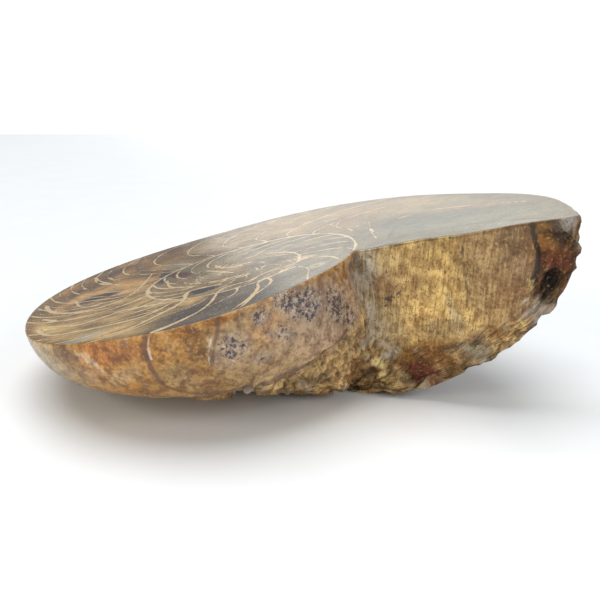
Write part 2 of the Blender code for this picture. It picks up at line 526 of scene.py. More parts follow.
@dataclass(frozen=True)
class FaceDrawing:
    """Colours and lines of the polished face."""

    coil: Coil
    chambers: Chambers
    wall_half: float = 0.42
    septum_half: float = 0.30
    vein_half: float = 0.16
    vein_breadth: float = 6.4  # usual breadth of a chamber, in millimetres
    # Angle, then the colour of the chambers' filling there.
    last_fill: tuple = (
        (16.0, 140, 128, 104),
        (50.0, 148, 136, 112),
        (72.0, 124, 112, 94),
        (98.0, 106, 90, 78),
        (112.0, 186, 152, 98),
        (130.0, 200, 162, 102),
        (158.0, 200, 160, 98),
        (185.0, 196, 152, 92),
        (215.0, 190, 142, 80),
        (245.0, 178, 136, 80),
        (285.0, 168, 134, 84),
        (325.0, 156, 130, 86),
        (350.0, 136, 122, 90),
        (380.5, 130, 116, 88),
    )
    earlier_fill: tuple = (
        (-340.0, 146, 124, 88),
        (-250.0, 156, 130, 92),
        (-190.0, 158, 130, 94),
        (-130.0, 150, 128, 94),
        (-60.0, 138, 124, 98),
        (0.0, 132, 120, 96),
        (60.0, 128, 116, 94),
    )
    patches: tuple = (
        Patch(-2.5, -16.4, 3.2, 2.6, (72, 66, 60), 0.0, 0.2),
        Patch(25.0, -18.9, 2.9, 2.2, (206, 200, 176), 20.0, 0.4),
        Patch(25.0, -18.9, 1.1, 0.9, (176, 148, 60), 0.0, 0.4),
        Patch(22.2, -6.7, 2.0, 2.6, (226, 202, 160), 60.0, 0.5),
        Patch(22.2, -1.6, 1.0, 3.0, (186, 140, 112), 0.0, 0.6, 0.7),
        Patch(-12.8, -19.4, 2.2, 3.4, (222, 188, 128), 30.0, 0.5),
        Patch(10.8, 24.4, 1.7, 4.6, (44, 40, 36), -42.0, 0.3),
        Patch(-12.0, 8.6, 2.0, 5.8, (104, 52, 30), 35.0, 0.4),
        Patch(-32.5, 4.5, 5.6, 3.0, (74, 58, 56), 25.0, 0.6),
        Patch(-16.6, 11.0, 1.3, 7.0, (70, 62, 60), 5.0, 0.5),
        Patch(-27.0, -35.6, 6.0, 2.0, (190, 192, 186), 32.0, 0.7, 0.7),
        Patch(-13.0, 21.0, 3.0, 8.0, (150, 152, 146), 25.0, 0.8, 0.6),
        Patch(58.0, 0.0, 16.0, 6.0, (112, 116, 106), -20.0, 0.6, 0.7),
        Patch(64.0, -12.0, 16.0, 6.0, (142, 142, 118), -28.0, 0.6, 0.8),
        Patch(69.4, -23.0, 7.0, 3.6, (176, 174, 160), -30.0, 0.5, 0.6),
        Patch(66.0, 9.0, 15.0, 3.0, (178, 134, 104), -45.0, 0.7, 0.7),
        Patch(41.7, -15.0, 3.0, 1.0, (46, 38, 32), 10.0, 0.4),
        Patch(0.5, -0.5, 6.0, 4.0, (222, 202, 168), 40.0, 0.8, 0.8),
        Patch(5.0, -4.0, 2.2, 3.6, (196, 150, 122), 60.0, 0.6, 0.6),
        Patch(36.0, 32.0, 9.0, 5.0, (176, 128, 84), 60.0, 0.8, 0.5),
        Patch(8.0, 44.0, 14.0, 6.0, (186, 148, 96), 10.0, 0.8, 0.6),
        Patch(-22.0, 42.0, 9.0, 5.0, (120, 74, 38), 45.0, 0.8, 0.6),
        Patch(-40.0, 25.0, 10.0, 5.0, (96, 64, 34), 65.0, 0.8, 0.6),
    )
    strokes: tuple = (
        Stroke(((-49.0, 8.0), (-44.0, -1.5), (-36.0, -8.0), (-29.5, -8.5), (-25.0, -6.0)), 0.55),
        Stroke(((-25.0, -6.0), (-22.5, 0.0), (-21.5, 12.0), (-21.5, 19.0)), 0.36),
        Stroke(((-45.0, -7.0), (-38.0, -13.5), (-30.0, -14.5), (-22.0, -12.0), (-17.0, -6.0)), 0.40),
        Stroke(((-40.0, -17.0), (-32.0, -21.5), (-26.0, -20.0), (-20.5, -18.0), (-7.0, -21.5)), 0.50),
        Stroke(((-43.0, -17.5), (-38.0, -25.0), (-30.0, -28.0), (-16.5, -29.0), (-11.0, -25.0)), 0.46),
        Stroke(
            ((-21.5, -37.5), (-16.5, -36.5), (-11.5, -31.0), (-6.5, -23.5), (-6.0, -14.5), (1.5, -14.5)),
            0.50,
        ),
        Stroke(
            ((-10.0, -43.5), (-6.0, -41.0), (-1.5, -36.5), (1.0, -30.0), (2.5, -20.0), (9.0, -18.0)),
            0.42,
        ),
        Stroke(((9.0, -18.0), (13.5, -13.0), (18.5, -12.0), (23.0, -7.0)), 0.40),
        Stroke(
            ((6.8, -40.5), (10.0, -34.5), (11.5, -27.5), (11.5, -21.5), (16.0, -17.5), (19.5, -15.0)),
            0.34,
        ),
        Stroke(((28.9, 36.7), (30.8, 26.0), (34.4, 16.7), (36.0, 10.0)), 0.16),
        Stroke(((34.4, 36.7), (31.7, 24.4), (33.0, 17.0)), 0.16),
        Stroke(((36.7, 17.8), (39.8, 10.0), (40.6, 4.4)), 0.20),
        Stroke(((40.6, 20.0), (40.0, 6.0), (40.6, -7.8)), 0.16),
        Stroke(
            ((43.0, -8.5), (46.0, 2.0), (52.2, 8.4), (60.0, 7.0), (70.0, 0.0), (78.9, -8.9)),
            0.34,
            Line.CRACK,
        ),
        Stroke(((36.7, -11.1), (46.0, -9.6), (55.6, -11.1), (67.8, -17.8), (76.0, -25.0)), 0.28, Line.CRACK),
        Stroke(((35.0, -12.7), (48.0, -17.6), (62.0, -22.8), (73.0, -26.9)), 0.16, Line.CRACK),
        Stroke(((48.0, 14.0), (58.0, 14.0), (68.0, 7.0), (78.0, -3.0)), 0.22),
        Stroke(((-40.0, 6.0), (-36.0, -3.0), (-30.0, -4.5), (-22.0, -3.0)), 0.30),
        Stroke(((-14.5, 5.0), (-13.5, -1.0), (-11.0, -6.0), (-5.0, -10.5)), 0.3),
        Stroke(((-9.0, -3.0), (-6.0, -7.0), (0.0, -10.0), (6.0, -10.0)), 0.3),
        Stroke(((-4.0, 5.0), (0.0, 0.0), (4.0, -5.0)), 0.5),
        Stroke(((-2.0, 9.0), (0.5, 4.0), (5.5, 1.5)), 0.4),
        Stroke(((-42.0, 34.0), (-37.0, 24.0), (-30.0, 14.0)), 0.34),
        Stroke(((-30.0, 48.0), (-29.0, 34.0), (-24.0, 22.0)), 0.3, Line.CRACK),
    )

    def fill(self, angle: Array, number: Array) -> Array:
        """Colour of each chamber's filling: from the tables, each chamber a little lighter or darker.

        Args:
            angle: angle with the turns counted on.
            number: the chamber's number.

        Returns:
            Colours in screen values.
        """
        last = np.moveaxis(along(self.last_fill, angle), 0, -1)
        earlier = np.moveaxis(along(self.earlier_fill, angle), 0, -1)
        tint = over(earlier, last, rise(angle, 4.0, 14.0))
        corner = np.stack([number, number * 0, number * 0], axis=-1)
        return tint * (1.0 + 0.11 * chance(corner, 5))[..., None]

    def draw(self, points: Array) -> Pattern:
        """The face's colours: fillings, soft streaks along the whorls, patches, and pale walls.

        Args:
            points: points of the face, in the face frame.

        Returns:
            The pattern.
        """
        u, v = points[:, 0], points[:, 1]
        place = self.chambers.place(self.coil, u, v)
        angle, radius, inner, outer = place
        near, number, share = self.chambers.gap(place)
        height = (radius - inner) / (outer - inner)
        tint = self.fill(angle, number)
        streak = Grain(1.0, 61, 3).at(np.stack([height * 7.0, share * 1.2 + number, angle * 0.004], axis=-1))
        veined = rise(angle, 104.0, 112.0) * (1.0 - rise(angle, 236.0, 262.0))
        streaky = (0.16 + 0.16 * veined) * streak
        tint = tint * (1.0 + streaky + 0.14 * Grain(0.011, 62, 3).at(points))[..., None]
        rim = 1.0 - rise(outer - radius, 0.4 * MM, 3.5 * MM)
        tint = over(tint, (120, 84, 48), 0.55 * rim * rise(angle, 90.0, 130.0))
        shape = Grain(0.004, 63, 2).at(points)
        x, y = u / MM, v / MM
        for patch in self.patches:
            tint = over(tint, patch.colour, patch.share(x - patch.x, y - patch.y, shape))
        wobble = 0.16 * Grain(0.0035, 64, 2).at(points)
        fine = 0.35 + 0.65 * rise(radius, 4.0 * MM, 24.0 * MM)
        small = 4.0 * (1.0 - rise(radius, 0.8 * self.chambers.centre, self.chambers.centre))
        septum = near / MM - self.septum_half * fine + 4.0 * rise(angle, 322.0, 334.0) + small
        whorl = np.minimum(np.where(angle > self.coil.cut, 1.0, outer - radius), radius - inner) / MM
        whorl = whorl - self.wall_half * fine + small
        vein = np.abs(share - 0.45 - 0.06 * streak) * self.vein_breadth - self.vein_half
        vein = vein + 4.0 * (1.0 - veined)
        drawn = nearest_line(self.strokes, Line.CALCITE, x, y)
        line = np.minimum.reduce([septum, whorl, drawn, vein]) + wobble
        crack = nearest_line(self.strokes, Line.CRACK, x, y) + wobble
        flat = np.zeros(len(points))
        pale = rise(Grain(0.006, 65, 3).at(points), 0.35, 0.9) * rise(angle, 200.0, 280.0)
        pale = pale * (1.0 - 0.8 * rise(angle, 300.0, 325.0))
        return Pattern(linear(tint), line, crack, flat, flat, pale, np.stack([x, y, flat], axis=-1))


@dataclass(frozen=True)
class OutsideDrawing:
    """Colours, lines and relief of the natural outside."""

    coil: Coil
    # Angle, then the depth in millimetres of the smooth shell band under the rim.
    band: tuple = (
        (20.5, 11.0),
        (25.0, 14.0),
        (38.0, 15.1),
        (47.0, 17.1),
        (60.0, 18.6),
        (97.0, 18.5),
        (150.0, 14.5),
        (200.0, 15.5),
        (270.0, 22.0),
        (340.0, 22.0),
        (380.5, 18.0),
    )
    # Angle, then the colour of the smooth band.
    band_fill: tuple = (
        (20.5, 176, 152, 130),
        (36.0, 180, 148, 116),
        (52.0, 186, 150, 114),
        (70.0, 200, 162, 112),
        (84.0, 186, 148, 98),
        (92.0, 178, 128, 58),
        (104.0, 178, 126, 52),
        (118.0, 188, 128, 48),
        (140.0, 176, 142, 76),
        (175.0, 150, 116, 68),
        (230.0, 140, 102, 54),
        (290.0, 156, 122, 74),
        (380.5, 148, 110, 62),
    )
    rock_fill: tuple = (
        (20.5, 212, 172, 112),
        (60.0, 210, 172, 112),
        (100.0, 200, 168, 118),
        (140.0, 150, 130, 100),
        (380.5, 138, 112, 78),
    )
    patches: tuple = (
        Patch(120.0, -2.6, 6.0, 2.4, (202, 124, 40), 0.0, 0.6, 0.8),
        Patch(131.0, -2.4, 5.0, 1.6, (136, 98, 52), 0.0, 0.6, 0.8),
        Patch(111.0, -3.4, 5.0, 2.2, (158, 98, 40), 0.0, 0.6, 0.8),
        Patch(104.0, -12.0, 5.0, 3.0, (204, 164, 100), 0.0, 0.7, 0.6),
        Patch(95.0, -1.4, 6.0, 1.0, (196, 128, 32), 0.0, 0.6, 0.7),
        Patch(88.8, -6.5, 1.2, 4.0, (220, 204, 178), 0.0, 0.6, 0.5),
        Patch(84.0, -1.0, 3.0, 0.9, (184, 104, 26), 0.0, 0.5, 0.8),
        Patch(121.6, -4.8, 0.5, 2.8, (222, 212, 194), -25.0, 0.4, 0.8),
        Patch(123.6, -4.0, 0.4, 2.2, (222, 212, 194), -25.0, 0.4, 0.7),
        Patch(126.0, -2.8, 0.4, 1.6, (226, 218, 204), -20.0, 0.4, 0.6),
        Patch(115.0, -8.6, 6.0, 2.0, (184, 160, 132), -20.0, 0.7, 0.6),
        Patch(100.0, -10.0, 4.0, 2.6, (132, 108, 72), 0.0, 0.7, 0.6),
        Patch(96.0, -13.5, 7.0, 3.0, (166, 134, 98), 0.0, 0.7, 0.6),
        Patch(92.0, -4.0, 2.6, 4.0, (140, 92, 40), 0.0, 0.6, 0.5),
        Patch(72.0, -6.0, 4.0, 3.6, (212, 156, 96), 0.0, 0.7, 0.6),
        Patch(44.0, -3.6, 5.0, 2.4, (186, 142, 108), 0.0, 0.7, 0.5),
        Patch(30.0, -3.0, 6.0, 1.2, (168, 104, 40), 0.0, 0.6, 0.6),
        Patch(52.0, -12.0, 9.0, 3.0, (190, 158, 126), 0.0, 0.7, 0.6),
        Patch(23.0, -7.0, 1.6, 6.0, (186, 176, 164), 0.0, 0.6, 0.7),
        Patch(28.0, -4.0, 1.6, 3.0, (140, 140, 146), 0.0, 0.6, 0.6),
        # Painted highlight: a thin golden line along the rim, where the bevel under the face catches the
        # light.
        Patch(60.0, 0.0, 28.0, 0.8, (206, 150, 70), 0.0, 0.4, 0.6),
        Patch(145.0, -7.0, 12.0, 4.0, (152, 140, 118), 0.0, 0.7, 0.6),
    )
    strokes: tuple = (
        Stroke(
            ((104.0, 0.6), (105.4, -3.0), (105.8, -8.0), (104.6, -13.0), (99.0, -16.6), (90.0, -18.2)),
            0.26,
            Line.CRACK,
        ),
        # Painted highlight: a very thin pale line along one lip of the crack above.
        Stroke(((103.2, -0.5), (104.4, -3.0), (104.8, -5.6)), 0.02),
        Stroke(((84.6, 0.4), (86.0, -3.0), (88.0, -6.0), (90.0, -10.0)), 0.20, Line.CRACK),
        Stroke(((88.0, -4.0), (89.6, -6.6), (90.6, -9.4)), 0.06),
    )
    feathers: tuple = (
        Patch(83.5, -7.6, 3.4, 3.8, turn=30.0, soft=0.7),
        Patch(65.0, -1.6, 2.6, 2.2, soft=0.5),
        Patch(57.0, -4.5, 7.0, 4.0, turn=20.0, soft=0.6),
        Patch(73.0, -3.4, 2.2, 1.6, soft=0.6),
        Patch(68.0, -8.6, 4.2, 1.8, turn=30.0, soft=0.6, strength=0.8),
        Patch(43.0, -8.5, 6.0, 4.0, turn=50.0, soft=0.6),
        Patch(36.0, -13.0, 5.0, 2.0, turn=40.0, soft=0.6),
        Patch(75.0, -12.0, 2.6, 1.2, soft=0.7, strength=0.7),
    )
    degree: float = 0.75  # millimetres to a degree along the wall, where the strokes are
    smooth_height: float = 0.10 * MM
    rib_height: float = 0.22 * MM
    rib_step: float = 5.0
    rock_height: float = 1.15 * MM
    chip_height: float = 0.45 * MM
    crust_height: float = 1.0 * MM

    def zones(self, points: Array, angle: Array) -> tuple[Array, Array]:
        """How rough the outside is: smooth in the band under the rim, broken rock below, crust at the mouth.

        Args:
            points: points of the outside, in the face frame.
            angle: their angles.

        Returns:
            Share of rock and share of crust, each from 0 to 1.
        """
        deep = -points[:, 2] / MM - along(self.band, angle)[0] + 1.2 * Grain(0.006, 71, 2).at(points)
        rock = rise(deep, -0.4, 0.7) * (0.15 + 0.85 * (1.0 - rise(angle, 84.0, 112.0)))
        return rock, rise(angle, 366.0, 374.0)

    def relief(self, points: Array, angle: Array) -> Array:
        """How far the outside stands proud: gentle waves, ribs low on the flank, and broken facets of rock.

        Args:
            points: points of the outside, in the face frame.
            angle: their angles.

        Returns:
            Heights in metres.
        """
        rock, crust = self.zones(points, angle)
        rib = self.rib_height * np.sin(np.radians(angle * TURN / self.rib_step))
        rib = rib * rise(angle, 120.0, 160.0) * rise(-points[:, 2], 5.0 * MM, 12.0 * MM)
        smooth = self.smooth_height * Grain(0.007, 72, 2).at(points) + rib
        large, _ = Facets(0.0062, 73).at(points)
        small, edge = Facets(0.0024, 77).at(points)
        broken = 0.8 * self.rock_height * large + self.chip_height * small
        broken = broken + 0.7 * MM * Grain(0.013, 78, 3).at(points) - 0.25 * MM * (1.0 - rise(edge, 0.0, 0.3))
        jagged = self.crust_height * (0.8 * small + 0.4 * large - 1.1)
        return smooth * (1.0 - rock) + broken * rock + jagged * crust

    def lines(self, angle: Array, down: Array, kind: Line) -> Array:
        """Distance from the nearest stroke of a kind, its angles turned to lengths along the wall.

        Args:
            angle: angles of the points.
            down: their depths in millimetres, less than nought under the face.
            kind: which strokes count.

        Returns:
            Distances in millimetres.
        """
        moved = tuple(
            replace(stroke, points=tuple((turn * self.degree, depth) for turn, depth in stroke.points))
            for stroke in self.strokes
        )
        return nearest_line(moved, kind, angle * self.degree, down)

    def draw(self, points: Array, angle: Array) -> Pattern:
        """Colours of the outside.

        Args:
            points: points of the outside, in the face frame.
            angle: their angles.

        Returns:
            The pattern.
        """
        rock, crust = self.zones(points, angle)
        down = points[:, 2] / MM
        arc = np.radians(1.0) * self.coil.wall(angle) / MM
        tint = np.moveaxis(along(self.band_fill, angle), 0, -1)
        tint = tint * (1.0 + 0.14 * Grain(0.008, 81, 3).at(points))[..., None]
        tint = over(tint, (118, 96, 66), rise(-down, 20.0, 30.0))
        stone = np.moveaxis(along(self.rock_fill, angle), 0, -1)
        _, edge = Facets(0.0024, 77).at(points)
        stone = stone * (1.0 + 0.30 * Grain(0.005, 82, 3).at(points))[..., None]
        # Painted shade: darker along the grooves that relief() carves between the rock facets.
        stone = over(stone, (76, 58, 40), 0.5 * (1.0 - rise(edge, 0.02, 0.20)))
        stone = over(stone, (204, 184, 154), 0.4 * rise(Grain(0.004, 83, 3).at(points), 0.35, 0.8))
        stone = over(stone, (152, 104, 48), 0.7 * rise(Grain(0.007, 84, 3).at(points), 0.30, 0.8))
        tint = over(tint, stone, rock)
        shape = Grain(0.003, 85, 2).at(points)
        for patch in self.patches:
            laid = patch.share(arc * (angle - patch.x), down - patch.y, shape) * (1.0 - rock)
            tint = over(tint, patch.colour, laid)
        rind = rise(Grain(0.005, 86, 2).at(points), -0.1, 0.4)
        tint = over(tint, (112, 66, 32), crust * rind)
        tint = over(tint, (146, 122, 90), crust * (1.0 - rind) * 0.6)
        wobble = 0.16 * Grain(0.003, 87, 2).at(points) + 9.0 * rise(angle, 150.0, 160.0)
        seam = np.abs(-down - along(self.band, angle)[0]) - 0.25 + 9.0 * rise(angle, 100.0, 112.0)
        dark = np.zeros(len(points))
        for patch in self.feathers:
            grown = patch.share(arc * (angle - patch.x), down - patch.y, 0.6 * shape)
            dark = np.maximum(dark, grown)
        return Pattern(
            linear(tint),
            self.lines(angle, down, Line.CALCITE) + wobble + 6.0 * rock,
            np.minimum(self.lines(angle, down, Line.CRACK) + 6.0 * rock, seam) + wobble,
            np.maximum(rock, crust),
            dark * (1.0 - rock),
            rise(Grain(0.004, 88, 3).at(points), 0.45, 0.9) * (0.25 + 0.75 * rock),
            np.stack([angle * arc, down, 0.0 * down], axis=-1),
        )


@dataclass(frozen=True)
class SawCutDrawing:
    """Colours, lines and relief of the wall left by the saw, placed by distance out and depth."""

    # Distance out in millimetres, then the depth at which the sawn wall gives way to broken rock.
    sawn: tuple = (
        (30.0, 17.0),
        (36.0, 22.0),
        (45.0, 25.6),
        (52.0, 25.9),
        (60.0, 24.2),
        (68.0, 22.6),
        (74.0, 19.0),
        (78.0, 15.0),
        (84.0, 9.0),
    )
    # Depth, then the distance out at which the crust begins.
    crust_edge: tuple = ((0.0, 77.6), (9.0, 77.2), (13.0, 75.4), (20.0, 74.0), (30.0, 70.0))
    fill: tuple = (
        (28.0, 190, 172, 148),
        (36.0, 200, 182, 156),
        (41.0, 210, 182, 134),
        (48.0, 228, 190, 120),
        (58.0, 234, 194, 116),
        (66.0, 196, 158, 102),
        (73.0, 138, 108, 76),
        (78.0, 132, 98, 64),
    )
    patches: tuple = (
        Patch(39.5, -5.0, 1.8, 5.4, (206, 198, 184), -12.0, 0.6, 0.85),
        # Painted shade: a grey streak along the hollow corner where the outside wall meets the saw cut.
        Patch(35.5, -4.0, 1.3, 5.0, (150, 148, 150), -15.0, 0.6, 0.7),
        Patch(42.0, -10.0, 4.0, 2.6, (172, 128, 92), -10.0, 0.6, 0.7),
        Patch(37.0, -14.0, 1.2, 4.0, (214, 196, 168), -20.0, 0.6, 0.7),
        Patch(72.0, -16.0, 3.0, 5.0, (132, 88, 44), 20.0, 0.7, 0.6),
        Patch(64.0, -9.0, 5.0, 8.0, (158, 128, 92), 0.0, 0.8, 0.5),
        Patch(54.0, -22.0, 6.0, 2.5, (150, 126, 92), 0.0, 0.7, 0.5),
        Patch(57.0, -18.0, 1.0, 5.0, (186, 168, 140), 10.0, 0.5, 0.6),
        Patch(47.0, -27.0, 7.0, 2.4, (150, 100, 30), 10.0, 0.5, 0.8),
        Patch(47.0, -33.0, 4.6, 2.6, (118, 50, 22), -25.0, 0.3, 0.95),
        Patch(55.0, -32.0, 2.6, 1.8, (140, 100, 46), 0.0, 0.6, 0.7),
        Patch(61.0, -28.0, 3.0, 2.2, (150, 146, 130), -25.0, 0.6, 0.7),
        Patch(40.0, -27.0, 2.6, 1.4, (202, 190, 172), 20.0, 0.6, 0.8),
        Patch(33.0, -31.0, 2.4, 1.6, (64, 52, 40), 0.0, 0.6, 0.5),
        Patch(80.0, -5.5, 2.8, 2.2, (188, 122, 42), 0.0, 0.6, 0.8),
        Patch(81.0, -9.5, 3.6, 2.2, (122, 56, 24), -10.0, 0.5, 0.9),
        Patch(79.5, -1.8, 2.2, 1.6, (176, 130, 56), 0.0, 0.6, 0.7),
        Patch(84.6, -1.4, 2.4, 2.6, (168, 168, 168), 20.0, 0.6, 0.8),
        # Painted shade: the next two patches darken the two holes that relief() digs, the second almost to
        # black.
        Patch(83.0, -4.4, 1.8, 1.8, (58, 44, 34), 20.0, 0.5, 0.8),
        Patch(79.8, -14.5, 1.6, 2.4, (20, 14, 12), -25.0, 0.25),
        Patch(75.4, -13.5, 0.9, 1.2, (206, 186, 120), 0.0, 0.4, 0.9),
        Patch(73.6, -17.5, 1.0, 0.9, (222, 212, 180), 0.0, 0.4, 0.9),
    )
    feathers: tuple = (
        Patch(43.5, -12.0, 5.4, 1.5, turn=38.0, soft=0.6),
        Patch(48.5, -8.4, 1.6, 1.0, soft=0.6, strength=0.8),
        Patch(34.0, -19.0, 1.8, 4.0, turn=-20.0, soft=0.6),
    )
    strokes: tuple = (
        Stroke(((77.8, 0.4), (77.4, -3.0), (77.9, -6.0), (77.4, -9.6), (75.8, -12.6)), 0.40, Line.CRACK),
        Stroke(((32.0, -0.55), (50.0, -0.50), (66.0, -0.60), (79.0, -0.50)), 0.10, Line.CRACK),
        Stroke(((62.0, -2.0), (61.2, -8.0), (60.8, -15.0), (58.6, -20.0)), 0.10, Line.CRACK),
        Stroke(((56.0, -6.0), (56.4, -8.5), (58.2, -10.4)), 0.10, Line.CRACK),
        Stroke(((58.4, -16.0), (58.6, -19.0), (60.6, -23.0)), 0.10),
        Stroke(((39.4, -5.0), (38.6, -12.0), (37.4, -16.0), (34.0, -22.0), (28.0, -27.0)), 0.12),
    )
    holes: tuple = (
        Patch(79.8, -14.5, 2.0, 2.8, turn=-25.0, soft=0.4),
        Patch(83.0, -4.6, 1.6, 1.8, turn=20.0, soft=0.5, strength=0.6),
    )
    mark_lean: float = 0.30  # how far the saw marks lean for each millimetre of depth
    rock_height: float = 0.9 * MM
    crust_height: float = 1.05 * MM
    hole_depth: float = 2.6 * MM

    def zones(self, out: Array, points: Array) -> tuple[Array, Array]:
        """Share of broken rock low down, and of crust at the far right.

        Args:
            out: distance out, in millimetres.
            points: points of the wall, in the face frame.

        Returns:
            Both shares, from 0 to 1.
        """
        down = -points[:, 2] / MM
        uneven = Grain(0.005, 91, 2).at(points)
        rock = rise(down - along(self.sawn, out)[0] + 1.2 * uneven, -0.5, 0.8)
        crust = rise(out - along(self.crust_edge, down)[0] + 0.5 * uneven, -0.2, 0.8)
        return rock, crust

    def relief(self, out: Array, points: Array) -> Array:
        """How far the wall stands proud: flat where sawn, facets in the rock, holes in the crust.

        Args:
            out: distance out, in millimetres.
            points: points of the wall, in the face frame.

        Returns:
            Heights in metres.
        """
        rock, crust = self.zones(out, points)
        large, _ = Facets(0.0060, 93).at(points)
        small, edge = Facets(0.0023, 97).at(points)
        groove = 0.25 * MM * (1.0 - rise(edge, 0.0, 0.3))
        broken = 0.8 * self.rock_height * large + 0.45 * MM * small - groove
        broken = broken + 0.8 * MM * Grain(0.012, 98, 3).at(points)
        jagged = self.crust_height * (0.75 * small + 0.35 * large - 0.35) - groove
        down = points[:, 2] / MM
        shape = Grain(0.003, 99, 2).at(points)
        dug = sum(hole.share(out - hole.x, down - hole.y, shape) for hole in self.holes)
        sawn = 0.05 * MM * Grain(0.005, 100, 2).at(points)
        body = sawn * (1.0 - np.maximum(rock, crust)) + broken * rock * (1.0 - crust) + jagged * crust
        return body - self.hole_depth * dug

    def draw(self, out: Array, points: Array) -> Pattern:
        """Colours of the saw cut.

        Args:
            out: distance out, in millimetres.
            points: points of the wall, in the face frame.

        Returns:
            The pattern.
        """
        rock, crust = self.zones(out, points)
        down = points[:, 2] / MM
        tint = np.moveaxis(along(self.fill, out), 0, -1)
        tint = tint * (1.0 + 0.12 * Grain(0.009, 101, 3).at(points))[..., None]
        _, edge = Facets(0.0023, 97).at(points)
        stone = np.array([222.0, 184.0, 124.0]) * (1.0 + 0.28 * Grain(0.005, 102, 3).at(points))[..., None]
        # Painted shade: darker along the grooves that relief() carves between the rock facets.
        stone = over(stone, (70, 52, 36), 0.5 * (1.0 - rise(edge, 0.02, 0.20)))
        stone = over(stone, (198, 184, 160), 0.4 * rise(Grain(0.004, 103, 3).at(points), 0.35, 0.8))
        stone = over(stone, (148, 92, 36), 0.7 * rise(Grain(0.006, 104, 3).at(points), 0.20, 0.7))
        tint = over(tint, stone, rock)
        rind = np.array([134.0, 88.0, 46.0]) * (1.0 + 0.45 * Grain(0.0035, 105, 3).at(points))[..., None]
        rind = over(rind, (188, 176, 158), 0.7 * rise(Grain(0.003, 106, 2).at(points), 0.3, 0.7))
        # Painted shade: darker along the grooves that relief() carves between the crust's facets.
        rind = over(rind, (52, 34, 26), 0.7 * (1.0 - rise(edge, 0.02, 0.25)))
        tint = over(tint, rind, crust)
        shape = Grain(0.003, 107, 2).at(points)
        for patch in self.patches:
            tint = over(tint, patch.colour, patch.share(out - patch.x, down - patch.y, shape))
        wobble = 0.14 * Grain(0.002, 108, 2).at(points)
        dark = np.zeros(len(points))
        for patch in self.feathers:
            dark = np.maximum(dark, patch.share(out - patch.x, down - patch.y, 0.6 * shape))
        return Pattern(
            linear(tint),
            nearest_line(self.strokes, Line.CALCITE, out, down) + wobble,
            nearest_line(self.strokes, Line.CRACK, out, down) + wobble,
            0.45 + 0.55 * np.maximum(rock, crust),
            dark,
            rise(Grain(0.004, 109, 3).at(points), 0.45, 0.9) * np.maximum(rock, crust),
            np.stack([out - self.mark_lean * down, down, 0.0 * down], axis=-1),
        )


class Wiring:
    """A short way to write shader nodes: each method adds a node and gives its output."""

    def __init__(self, name: str) -> None:
        """Starts a material with an empty node tree.

        Args:
            name: the material's name.
        """
        self.material = bpy.data.materials.new(name)
        self.material.use_nodes = True
        self.tree = self.material.node_tree
        self.tree.nodes.clear()

    def node(self, kind: str, values: dict, **settings: object) -> bpy.types.Node:
        """Adds a node.

        Args:
            kind: the node's type.
            values: a value or an output for each input, by name or number; None is left alone.
            settings: the node's own settings.

        Returns:
            The node.
        """
        made = self.tree.nodes.new(kind)
        for name, value in settings.items():
            setattr(made, name, value)
        for name, value in values.items():
            if isinstance(value, Socket):
                self.tree.links.new(value, made.inputs[name])
            elif value is not None:
                made.inputs[name].default_value = value
        return made

    def read(self, name: str, output: str = "Fac") -> Socket:
        """A value kept at each point of the mesh."""
        return self.node("ShaderNodeAttribute", {}, attribute_name=name).outputs[output]

    def object_place(self) -> Socket:
        """Place in metres."""
        return self.node("ShaderNodeTexCoord", {}).outputs["Object"]

    def maths(self, does: str, *values: object) -> Socket:
        """A sum, product or other sum-like step of one, two or three values."""
        return self.node("ShaderNodeMath", dict(enumerate(values)), operation=does).outputs[0]

    def scaled(self, value: object, factor: float) -> Socket:
        """A value times a number."""
        return self.maths("MULTIPLY", value, factor)

    def step(self, value: object, low: float, high: float, start: float = 0.0, end: float = 1.0) -> Socket:
        """Goes smoothly from start to end as the value goes from low to high."""
        values = {"Value": value, "From Min": low, "From Max": high, "To Min": start, "To Max": end}
        return self.node("ShaderNodeMapRange", values, interpolation_type="SMOOTHSTEP").outputs[0]

    def mix(self, share: object, first: object, second: object, blend: str = "MIX") -> Socket:
        """Two colours mixed by a share."""
        made = self.node("ShaderNodeMix", {0: share, 6: first, 7: second}, data_type="RGBA", blend_type=blend)
        return made.outputs[2]

    def lay(self, under: Socket, value: Socket, low: float, high: float, most: float, top: object) -> Socket:
        """Lays one colour over another where a value goes from low to high.

        Args:
            under: the colour underneath.
            value: the value that decides.
            low: where the top colour begins; it may be the greater.
            high: where the top colour is strongest.
            most: its share there.
            top: the colour laid over.

        Returns:
            The colour of both.
        """
        return self.mix(self.step(value, low, high, 0.0, most), under, top)

    def noise(self, place: object, scale: float, detail: float = 2.0, rough: float = 0.5) -> Socket:
        """Smooth noise from 0 to 1."""
        values = {"Vector": place, "Scale": scale, "Detail": detail, "Roughness": rough}
        return self.node("ShaderNodeTexNoise", values).outputs[0]

    def stretched(self, place: object, scale: Colour) -> Socket:
        """The place stretched along its axes."""
        return self.node("ShaderNodeMapping", {"Vector": place, "Scale": scale}).outputs[0]

    def ragged(self, line: Line, place: Socket) -> Socket:
        """Distance in millimetres from the edge of the nearest line of a kind, made a little uneven."""
        uneven = self.scaled(self.maths("SUBTRACT", self.noise(place, 900.0, 2.0), 0.5), 0.5)
        return self.maths("ADD", self.read(line.value), uneven)

    def bump(self, height: object, depth: float, strength: float, under: object = None) -> Socket:
        """A bumped normal; depth is the height of the bumps in metres."""
        values = {"Height": height, "Distance": depth, "Strength": strength, "Normal": under}
        return self.node("ShaderNodeBump", values).outputs[0]

    def finish(self, **inputs: object) -> bpy.types.Material:
        """Ends the tree with a Principled shader.

        Args:
            inputs: value or output for each socket, its name written with underscores.

        Returns:
            The material.
        """
        values = {name.replace("_", " "): value for name, value in inputs.items()}
        shader = self.node("ShaderNodeBsdfPrincipled", values)
        self.node("ShaderNodeOutputMaterial", {"Surface": shader.outputs[0]})
        return self.material


def shade(red: int, green: int, blue: int) -> tuple:
    """A node colour from 0 to 255 screen values."""
    return (*linear(np.array([red, green, blue])), 1.0)


